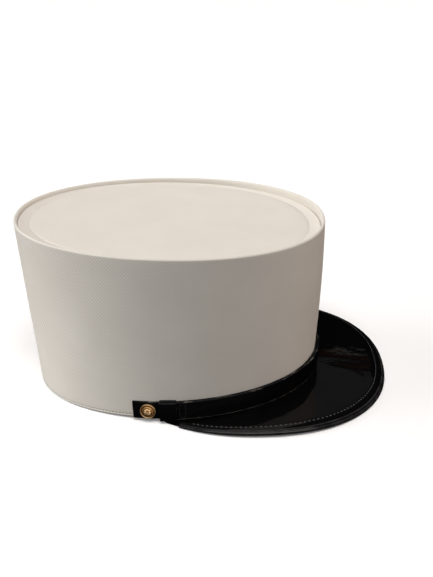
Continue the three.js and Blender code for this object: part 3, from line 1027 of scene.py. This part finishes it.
print(f"the binding is {2 * binding_half:.1f} mm thick over both legs")


# %% Binding
binding_row_spacing = 2


def leg_at(share):
    """How wide the binding is there. It never takes more than half of the peak."""
    return np.minimum(binding_width, peak_line(share)[2] / 2 - seam_gap)


binding_shares = evenly_spaced(edge_line, -binding_share, binding_share, binding_row_spacing)
sections = np.stack([binding_section(leg) for leg in leg_at(binding_shares)])
slim = slimming(binding_shares)[:, None]
binding_points = peak_point(binding_shares[:, None], sections[..., 0], sections[..., 1] * slim)
round_binding = np.array([round_section(section[:, :2]) for section in sections])
along_binding = np.broadcast_to(travelled(edge_line(binding_shares))[:, None], round_binding.shape)
binding_flat = np.stack([along_binding, round_binding], axis=-1)
binding = skin("bound_edge", binding_points, binding_flat, binding_leather, wear_film_and_highlight=sections[..., 2])
dress(binding, "binding_leather", "peak_binding")

# %% [markdown]
# The binding's stitches are 3.3 mm apart and lie in the shallow valley just inside its inner edge.
# The same row shows on the underside, because the thread goes right through.

# %% Binding stitches
binding_stitch_spacing = 3.3
binding_stitch_length = 2.5
binding_stitch_end = 0.9
binding_thread = 0.5
over_valley = 0.1


def binding_line(side):
    """The line of the stitches on the upper side (1) or the underside (-1), as a function of share."""

    def place(share):
        rise = side * (binding_half - stitch_valley + over_valley) * slimming(share)
        return peak_point(share, leg_at(share) - stitch_from_leg, rise)

    return place


stitch_parts = []
for side in (1, -1):
    line = binding_line(side)
    shares = evenly_spaced(line, -binding_stitch_end, binding_stitch_end, binding_stitch_spacing)
    middle_shares = (shares[:-1] + shares[1:]) / 2
    ups = np.broadcast_to([0.0, 0.0, float(side)], (len(middle_shares), 3))
    stitch_parts.append((line(middle_shares), line(shares[1:]) - line(shares[:-1]), ups))
binding_stitches = stitch_row(
    "binding_stitches",
    *[np.concatenate(arrays) for arrays in zip(*stitch_parts)],
    binding_stitch_length,
    binding_thread,
    black_thread,
)
dress(binding_stitches, "binding_leather")

# %% [markdown]
# ## The chin strap
# The strap is two layers of leather 13.3 mm wide. Each layer ends in a square tab under one button and lies
# under or over the other layer from keeper to keeper. Its edges are rounded, and a hot iron has run a fine
# line along both of them, as on most straps. The lower edge is rubbed bare in a thin line, which is painted
# nearly white: wear and a painted highlight where the edge catches the light.
# In front, over the root of the peak, the strap is pulled a millimetre closer to the wall.

# %% Section of the strap
strap_width = 13.3
strap_leather_mm = 1.3
strap_height_side = 0.43
strap_height_front = 4.6
inner_strap_outset = 1.45
outer_strap_outset = 3.05
strap_press_front = 1
strap_corner = 0.45
iron_line_from_edge = 1.5
iron_line_depth = 0.06
iron_line_half = 0.32
back_corner = 0.2
back_wear = 0.2
upper_wear = 0.15
# The lower corner's wear reaches the strap's near-white tone: wear and a painted highlight along the lower
# edge
lower_wear_and_highlight = (0.2, 0.4, 1, 1, 0.8, 0.1)


def strap_corner_points(x, y, corner, start, steps, wear_and_highlight):
    """A quarter of a circle from that angle on, and the wear of each of its points; on the lower edge that
    also paints a highlight.
    """
    quarter = arc(x, y, corner, start, start + 90, steps)
    return [(*place, amount) for place, amount in zip(quarter, np.broadcast_to(wear_and_highlight, steps + 1))]


front = strap_leather_mm - strap_corner
upper = strap_width - strap_corner
strap_section = strap_corner_points(back_corner, back_corner, back_corner, 180, 2, back_wear)
strap_section += strap_corner_points(front, strap_corner, strap_corner, -90, 5, lower_wear_and_highlight)
for line_height in (iron_line_from_edge, strap_width - iron_line_from_edge):
    strap_section += [(strap_leather_mm, line_height - iron_line_half, 0)]
    strap_section += [(strap_leather_mm - iron_line_depth, line_height, 0)]
    strap_section += [(strap_leather_mm, line_height + iron_line_half, 0)]
strap_section += strap_corner_points(front, upper, strap_corner, 0, 5, upper_wear)
strap_section += strap_corner_points(back_corner, strap_width - back_corner, back_corner, 90, 2, back_wear)
strap_section = np.array(strap_section)
print(f"the strap's section has {len(strap_section)} points")

# %% Where the strap's layers end
button_behind_middle = 14.5
tab_past_button = 10.3
lap_end = 1.5
lap_ease_end = 8
end_round = 0.45
rows_near_end = [0, 0.08, 0.25]
strap_row_spacing = 2
mid_strap_outset = 2

button_turn = turn_behind_middle(button_behind_middle)
tab_turn = turn_behind_middle(button_behind_middle + tab_past_button)
lap_turn = turn_behind_middle(lap_end)
ease_turn = turn_behind_middle(lap_ease_end)
print(f"the buttons sit {math.degrees(button_turn):.0f} degrees round from the front")


# %% One layer of the strap
def strap_low(turn):
    """The height of the strap's lower edge: near the hem at the sides, higher over the peak."""
    return blend_between(strap_height_side, strap_height_front, np.maximum(0, np.cos(turn)))


def strap_layer(name, start, end, outset_at, material):
    """One layer from start to end, with its two ends rounded off."""

    def low_line(turn):
        return wall_point(turn, strap_low(turn), mid_strap_outset)

    turns = evenly_spaced(low_line, start, end, strap_row_spacing)
    near_end = np.array(rows_near_end) / hem_half_width * np.sign(end - start)
    turns = np.concatenate([start + near_end, turns[1:-1], end - near_end[::-1]])
    length_mm = travelled(low_line(turns))
    from_end = np.minimum(length_mm, length_mm[-1] - length_mm)
    from_corner = np.clip(end_round - from_end, 0, end_round)
    drawn_in = (end_round - np.sqrt(end_round**2 - from_corner**2))[:, None]
    centre = np.array([strap_leather_mm / 2, strap_width / 2])
    offset = strap_section[:, :2] - centre
    thick = offset[:, 0] * (1 - drawn_in / strap_leather_mm) + centre[0]
    high = offset[:, 1] * (1 - 2 * drawn_in / strap_width) + centre[1]
    column = turns[:, None]
    press = strap_press_front * np.maximum(0, np.cos(column))
    points = wall_point(column, strap_low(column) + high, outset_at(column) - press + thick)
    flat = flat_strip(length_mm, round_section(strap_section[:, :2]))
    wear_film_and_highlight = np.repeat(strap_section[None, :, 2], len(turns), axis=0)
    print(f"{name} is {length_mm[-1]:.0f} mm long")
    return skin(name, points, flat, material, wear_film_and_highlight=wear_film_and_highlight)


# %% Both layers of the strap
def outer_outset(turn):
    ease = smooth_step(turn, lap_turn, ease_turn)
    return blend_between(outer_strap_outset, inner_strap_outset, ease)


strap_under = strap_layer("strap_under", lap_turn, -tab_turn, lambda turn: inner_strap_outset, strap_leather)
strap_over = strap_layer("strap_over", tab_turn, -lap_turn, outer_outset, strap_leather)
dress(strap_under, "strap_leather", "chin_strap_inner")
dress(strap_over, "strap_leather", "chin_strap_outer")

# %% [markdown]
# ## The keepers
# A keeper is a short strip of thin leather, closed in a loop round both layers so that they can
# slide. It is drawn as a leather section 12.3 mm wide, carried once round a rounded rectangle. The
# rectangle is laid out in the wall's own directions, and so the loop follows the wall.

# %% Sections of a keeper
keeper_length = 12.3
keeper_leather = 0.7
keeper_hole_depth = 3.65
keeper_hole_height = 13.7
keeper_corner = 1
keeper_edge_round = 0.3

mid_depth = keeper_hole_depth + keeper_leather
mid_height = keeper_hole_height + keeper_leather
loop_line = rounded_box(mid_depth / 2, mid_height / 2, keeper_corner, 5)
leather_section = rounded_box(keeper_leather / 2, keeper_length / 2, keeper_edge_round, 3)[:, :2]
on_keeper_edge = np.abs(leather_section[:, 1]) > (keeper_length - keeper_edge_round) / 2
print(f"a keeper has {len(loop_line)} rows of {len(leather_section)} points")


# %% Keepers
keeper_ahead_of_button = 13.2
keeper_seat = 0.35
keeper_rise = -0.05
keeper_edge_wear = 0.2
keeper_turn = turn_behind_middle(button_behind_middle - keeper_ahead_of_button)
small_turn = 0.01


def keeper(name, turn_middle, material):
    depth = loop_line[:, None, 0] + loop_line[:, None, 2] * leather_section[:, 0]
    up = loop_line[:, None, 1] + loop_line[:, None, 3] * leather_section[:, 0]
    small_step = wall_point(turn_middle + small_turn, 0, 0) - wall_point(turn_middle, 0, 0)
    turns = turn_middle + leather_section[:, 1] * small_turn / np.linalg.norm(small_step)
    outset = keeper_seat + keeper_leather + keeper_hole_depth / 2 + depth
    heights = strap_low(turn_middle) + strap_width / 2 + keeper_rise + up
    points = wall_point(turns, heights, outset)
    flat = flat_strip(round_section(loop_line[:, :2]), round_section(leather_section))
    wear_film_and_highlight = np.broadcast_to(on_keeper_edge * keeper_edge_wear, points.shape[:2])
    return skin(name, points, flat, material, ring=True, wear_film_and_highlight=wear_film_and_highlight)


for side_name, sign in (("right", -1), ("left", 1)):
    loop = keeper("leather_keeper_" + side_name, sign * keeper_turn, strap_leather)
    dress(loop, "strap_leather", "keeper_" + side_name)

# %% [markdown]
# The right keeper is sewn to the end of the outer layer, and the small box of stitches that holds it
# shows just ahead of it. The left one is sewn to the inner layer, and so its stitches are hidden.

# %% Box of stitches by the right keeper
box_ahead = -6.4
box_length = 4
box_height = 9.6
box_stitch = 1.6
box_stitch_spacing = 2
box_thread = 0.35

box_turns = -np.array([turn_behind_middle(box_ahead - box_length * part) for part in (0, 1)])
box_low = strap_low(box_turns[0]) + (strap_width - box_height) / 2
box_high = box_low + box_height
box_face = outer_strap_outset + strap_leather_mm
lower_side = [(box_turns[0], box_low), (box_turns[1], box_low)]
upper_side = [(box_turns[1], box_high), (box_turns[0], box_high)]
box_corners = np.array(lower_side + upper_side + lower_side[:1])
box_middles = []
box_alongs = []
for corner_a, corner_b in zip(box_corners[:-1], box_corners[1:]):
    along = wall_point(*corner_b, box_face) - wall_point(*corner_a, box_face)
    count = max(1, round(np.linalg.norm(along) / box_stitch_spacing))
    for share in (np.arange(count) + 0.5) / count:
        box_middles.append(wall_point(*blend_between(corner_a, corner_b, share), box_face))
        box_alongs.append(along)
box_out = wall_point(*box_corners[0], box_face + 1) - wall_point(*box_corners[0], box_face)
keeper_stitches = stitch_row(
    "keeper_stitches",
    np.array(box_middles),
    np.array(box_alongs),
    np.repeat(box_out[None], len(box_middles), axis=0),
    box_stitch,
    box_thread,
    dark_thread,
)
dress(keeper_stitches, "strap_leather")

# %% [markdown]
# ## The buttons
# Each button is a shallow dome stamped from sheet brass, with a rolled rim and a shank behind. It is
# turned on a lathe here: rings of points, each at its own height. The stamping is a plain rosette,
# eight petals in a thin ring. Its relief lifts the dome by only a quarter of a millimetre, which is
# enough to catch the light, and the low places keep the brown film.

# %% Button sizes and relief
shank_depth = 3.4
button_radius = 5.5
button_back = 3.05
button_edge = 1
button_dome = 1.7
button_rim = 0.8
back_round = 0.35
back_flat_inset = 0.3
rim_sink = 0.25
dome_sink = 0.2
shank_radius = 1.1
button_sides = 96
dome_rings = 36
dome_radius = button_radius - button_rim
edge_top = button_back + button_edge
petals = 8
petal_relief = 0.26
petal_fullness = 0.7
boss_relief = 0.24
ring_relief = 0.16
ring_radius = 3.75
ring_half_width = 0.2


def rosette(radius, angle):
    """How high the stamping stands over the dome, in millimetres."""
    petal_width = np.abs(np.cos(angle * petals / 2)) ** petal_fullness
    petal_ends = smooth_step(radius, 0.75, 1.1) * smooth_step(-radius, -3.1, -2.2)
    boss = boss_relief * smooth_step(-radius, -0.75, -0.5)
    ring = ring_relief * np.exp(-(((radius - ring_radius) / ring_half_width) ** 2))
    return petal_relief * petal_width * petal_ends + boss + ring


print(f"the rosette stands {rosette(np.array(1.6), np.array(0.0)):.2f} mm over the dome")


# %% Buttons
def wall_mount(turn):
    """Where something sits on the strap: a place, and the level, up and out directions there."""
    height = strap_low(turn) + strap_width / 2
    here = wall_point(turn, height, 0)
    ahead = wall_point(turn + small_turn, height, 0) - here
    up = unit(wall_point(turn, height + 1, 0) - here)
    out = unit(np.cross(ahead, up))
    return here, np.cross(up, out), up, out


def gilt_button(name, turn):
    here, level, up, out = wall_mount(turn)
    angle = np.arange(button_sides) * 2 * np.pi / button_sides
    body = [(shank_radius, -shank_depth), (shank_radius, button_back)]
    body += [(button_radius - back_flat_inset, button_back)]
    body += arc(button_radius - back_round, button_back + back_round, back_round, -60, 0, 3)
    body += arc(button_radius - button_rim / 2, edge_top - rim_sink, button_rim / 2, 0, 180, 8)
    body = np.array(body)
    dome = dome_radius * np.sin(np.linspace(np.pi / 2, 0.02, dome_rings))
    dome_height = edge_top - dome_sink + button_dome * np.sqrt(1 - (dome / dome_radius) ** 2)
    radius = np.concatenate([body[:, 0], dome])
    outset = np.concatenate([body[:, 1], dome_height])
    relief = rosette(radius[None, :], angle[:, None])
    relief[:, : len(body)] = 0
    hollow = 1 - smooth_step(relief, 0.02, ring_relief)
    hollow[:, : len(body)] = 0.1
    side = level * np.cos(angle)[:, None] + up * np.sin(angle)[:, None]
    points = here + side[:, None] * radius[:, None] + out * (outset + relief)[..., None]
    turned = np.append(angle, 0)[:, None]
    flat = np.stack([radius * np.cos(turned), radius * np.sin(turned)], axis=-1)
    return skin(name, points, flat, gilt, ring=True, loop=False, wear_film_and_highlight=hollow, sharp_over=70)


for side_name, sign in (("right", -1), ("left", 1)):
    stamped = gilt_button("stamped_button_" + side_name, sign * button_turn)
    dress(stamped, "gilt_brass", "button_" + side_name)

# %% [markdown]
# ## The table
# The cap stands on a plain, pale, dull surface that runs out past the picture. In the photograph the
# black strap shows that hardly any light came back up from the table. So only the camera sees this
# floor: it takes the cap's shadow, but it neither lights the cap nor shows in its lacquer. It glows
# a little, as a light table does, and so the shadow on it stays faint.

# %% Floor
floor_half = 6
floor_glow = 0.13
floor_material, tree = new_finish("matt_pale_floor")
grain = node(tree, "TexNoise", {"Scale": 40, "Detail": 2})
paper = node(tree, "ValToRGB", {"Fac": grain.outputs["Fac"]}, shades=((0, "F6F6F6"), (1, "FAFAFA")))
glow = {"Emission Color": (1, 1, 1, 1), "Emission Strength": floor_glow}
dull = node(tree, "BsdfPrincipled", {"Base Color": paper.outputs["Color"], "Roughness": 0.95, **glow})
node(tree, "OutputMaterial", {"Surface": dull.outputs["BSDF"]})
floor_mesh = bpy.data.meshes.new("floor")
floor_corners = [(x * floor_half, y * floor_half, 0) for x, y in ((-1, -1), (1, -1), (1, 1), (-1, 1))]
floor_mesh.from_pydata(floor_corners, [], [(0, 1, 2, 3)])
floor_mesh.materials.append(floor_material)
floor = bpy.data.objects.new("floor", floor_mesh)
floor.visible_glossy = False
floor.visible_diffuse = False
floor.visible_shadow = False
bpy.context.scene.collection.objects.link(floor)
floor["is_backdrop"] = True
print(f"a floor {2 * floor_half} m wide")

# %% [markdown]
# ## The light
# The tones of the photograph say where its lamps stood. The top is the brightest part and evenly
# lit, and the inside of the far rim is lit as well: so the main lamp hung over the camera's side.
# The near wall darkens from left to right, so a second, wide lamp stood on the left, and a weaker,
# warmer one on the right. All three are suns with a very wide disc here, because a sun is as bright
# at the back of the floor as at the front. They don't show in lacquer or gilt, which mirror what
# stands opposite: three dim cards beyond the cap give the peak its grey field, a thin pale streak
# and a warm patch, and a large bright one by the camera lights the button. A card lights no cloth.

# %% Helpers for lamps and cards
card_distance = 2.0


def aim(light, azimuth, elevation, distance=card_distance):
    """Puts a light that far from the cap, by its compass angle from +X to +Y and its height angle."""
    around, up = math.radians(azimuth), math.radians(elevation)
    side = (math.cos(up) * math.cos(around), math.cos(up) * math.sin(around), math.sin(up))
    light.location = Vector(side) * distance
    light.rotation_euler = light.location.to_track_quat("Z", "Y").to_euler()
    bpy.context.scene.collection.objects.link(light)


def wide_sun(name, azimuth, elevation, disc, brightness, tint):
    """A soft lamp. Brightness is what a white sheet of paper facing it would show, from 0 to 1."""
    data = bpy.data.lights.new(name, "SUN")
    data.angle = math.radians(disc)
    data.energy = brightness * math.pi
    data.color = linear(tint)[:3]
    lamp = bpy.data.objects.new(name, data)
    lamp.visible_glossy = False
    aim(lamp, azimuth, elevation)
    print(f"{name}: brightness {brightness}")


def area_light(name, width, height, brightness, tint):
    """A glowing rectangle in metres. A brightness of 1 is a face as light as the picture's white."""
    data = bpy.data.lights.new(name, "AREA")
    data.shape = "RECTANGLE"
    data.size = width
    data.size_y = height
    data.energy = brightness * math.pi * width * height
    data.color = linear(tint)[:3]
    print(f"{name}: brightness {brightness}")
    return bpy.data.objects.new(name, data)


def mirrored_card(name, azimuth, elevation, width, height, brightness, tint):
    """A card that only shows in lacquer and gilt. Its width and height are angles from the cap."""
    width, height = (2 * card_distance * math.tan(math.radians(angle / 2)) for angle in (width, height))
    card = area_light(name, width, height, brightness, tint)
    card.visible_diffuse = False
    aim(card, azimuth, elevation)


print(f"the cards stand {card_distance} m from the cap")

# %% Lamps and cards
wide_sun("main_lamp", 180, 65, 40, 0.79, "FFFDFC")
wide_sun("left_lamp", 90, 13, 45, 0.79, "FFFDFC")
wide_sun("right_lamp", 279, 12, 50, 0.31, "FFE9DC")
mirrored_card("near_card", 183, 16, 80, 46, 2.2, "FFF8EE")
mirrored_card("far_card", -15.5, 35, 19, 15, 0.21, "F4F6FF")
mirrored_card("low_card", -13.5, 23.8, 4.5, 0.9, 0.38, "FFF4EA")
mirrored_card("warm_card", -12.5, 25.6, 9, 2, 0.08, "FF9A6A")

# %% [markdown]
# The foot of the wall is brighter on the left in the photograph, as if light came back up from the
# table there. A narrow reflector that lies close to the cap does the same.

# %% Low reflector
reflector_length = 0.2
reflector_height = 0.02
reflector_distance = 0.215
low_reflector = area_light("low_reflector", reflector_length, reflector_height, 1.9, "FFFFFF")
low_reflector.visible_glossy = False
low_reflector.visible_camera = False
aim(low_reflector, 118, 3.5, reflector_distance)

# %% [markdown]
# The room round the lamps is dim and a little warm, and just fills the shadows. The camera sees it
# as white, like the floor, and it doesn't show in the lacquer.

# %% Surroundings
dim_room = 0.065
world = bpy.data.worlds.new("studio")
world.use_nodes = True
world.node_tree.nodes.clear()
seen = node(world.node_tree, "Background", {"Color": linear("FFFFFF"), "Strength": 1})
unseen = node(world.node_tree, "Background", {"Color": linear("FFFAF4"), "Strength": dim_room})
ray = node(world.node_tree, "LightPath")
either = node(
    world.node_tree,
    "MixShader",
    {0: ray.outputs["Is Camera Ray"], 1: unseen.outputs["Background"], 2: seen.outputs["Background"]},
)
node(world.node_tree, "OutputWorld", {"Surface": either.outputs["Shader"]})
bpy.context.scene.world = world
world.cycles_visibility.glossy = False
bpy.context.scene.view_settings.view_transform = "Standard"
print(f"the room is lit at {dim_room}")

# %% [markdown]
# ## Size
# The finer pieces must not be larger than the imported cap. Both boxes are printed, so that they can be
# compared after each run.

# %% Print the two boxes
visual_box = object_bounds()
for name, box in (("cad", cad_box), ("visual", visual_box)):
    print(name, [round(value * 1000, 1) for corner in box for value in corner])
